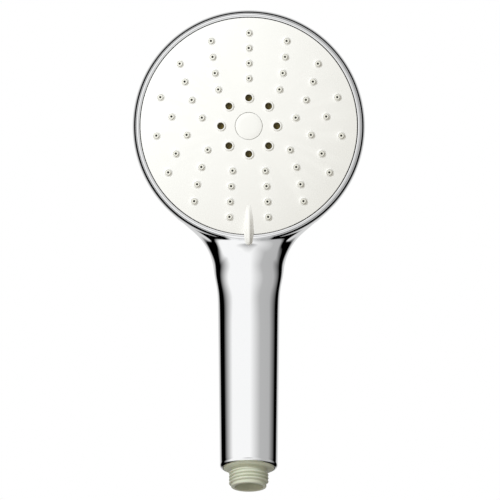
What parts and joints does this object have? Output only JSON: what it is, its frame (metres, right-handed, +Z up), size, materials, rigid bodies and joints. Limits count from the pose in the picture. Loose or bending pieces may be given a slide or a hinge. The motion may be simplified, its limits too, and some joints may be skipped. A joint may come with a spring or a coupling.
{
  "type": "handheld shower head",
  "caption": "Chromed handheld shower head with a turning white spray face, lever fin, silicone nozzles and a threaded hose connector.",
  "frame": {"origin": "centre of the hose connector's end face, where the hose joins", "axes": "+Z up along the handle's axis, -Y the side the spray face looks to (tilted 20 degrees down), X across; symmetric about X = 0"},
  "size_m": [0.125, 0.0764, 0.2517],
  "materials": {
    "chrome": "polished chrome plating",
    "white_abs": "white satin moulding",
    "silicone": "pale cream silicone",
    "connector_plastic": "pale green-cream moulding",
    "olive_plastic": "dark olive moulding",
    "acetal": "natural acetal",
    "rubber": "black sealing rubber",
    "steel": "stainless steel"
  },
  "bodies": {
    "handset": {"outer_shell": "chrome", "front_ring": "chrome", "valve_body": "acetal", "valve_screw_a": "steel", "valve_screw_b": "steel", "valve_screw_c": "steel", "valve_screw_d": "steel", "port_seal": "rubber", "port_seal_spring": "steel", "detent_spring": "steel", "waterway_tube": "acetal", "tube_o_ring_lower": "rubber", "tube_o_ring_upper": "rubber", "hose_connector": "connector_plastic", "filter_screen": "steel", "flow_regulator_body": "acetal", "flow_regulator_ring": "rubber", "check_valve_body": "acetal", "check_valve_spring": "steel", "check_valve_o_ring": "rubber"},
    "selector": {"spray_face": "white_abs", "centre_cap": "white_abs", "nozzle_mat": "silicone", "centre_screw": "steel", "screw_washer": "steel", "swirl_plate": "olive_plastic", "chamber_plate": "acetal"},
    "turbine": {"turbine": "olive_plastic"},
    "detent_plunger": {"detent_plunger": "acetal"},
    "check_poppet": {"check_poppet": "acetal"}
  },
  "joints": [
    {"name": "selector_turn", "type": "hinge", "parent": "handset", "child": "selector", "pos_m": [0, -0.0394, 0.1902], "axis": [0, -0.9397, -0.342], "range_deg": [-30, 30]},
    {"name": "turbine_spin", "type": "hinge", "parent": "selector", "child": "turbine", "pos_m": [0, -0.0347, 0.19191], "axis": [0, -0.9397, -0.342], "continuous": true},
    {"name": "detent_press", "type": "slide", "parent": "handset", "child": "detent_plunger", "axis": [0, 0.9397, 0.342], "range_m": [0, 0.0009], "stiffness_N_per_m": 600, "springref_m": -0.002, "deforming": ["detent_spring"]},
    {"name": "check_valve_lift", "type": "slide", "parent": "handset", "child": "check_poppet", "axis": [0, 0, 1], "range_m": [0, 0.0025], "stiffness_N_per_m": 120, "springref_m": -0.003, "deforming": ["check_valve_spring"]}
  ]
}
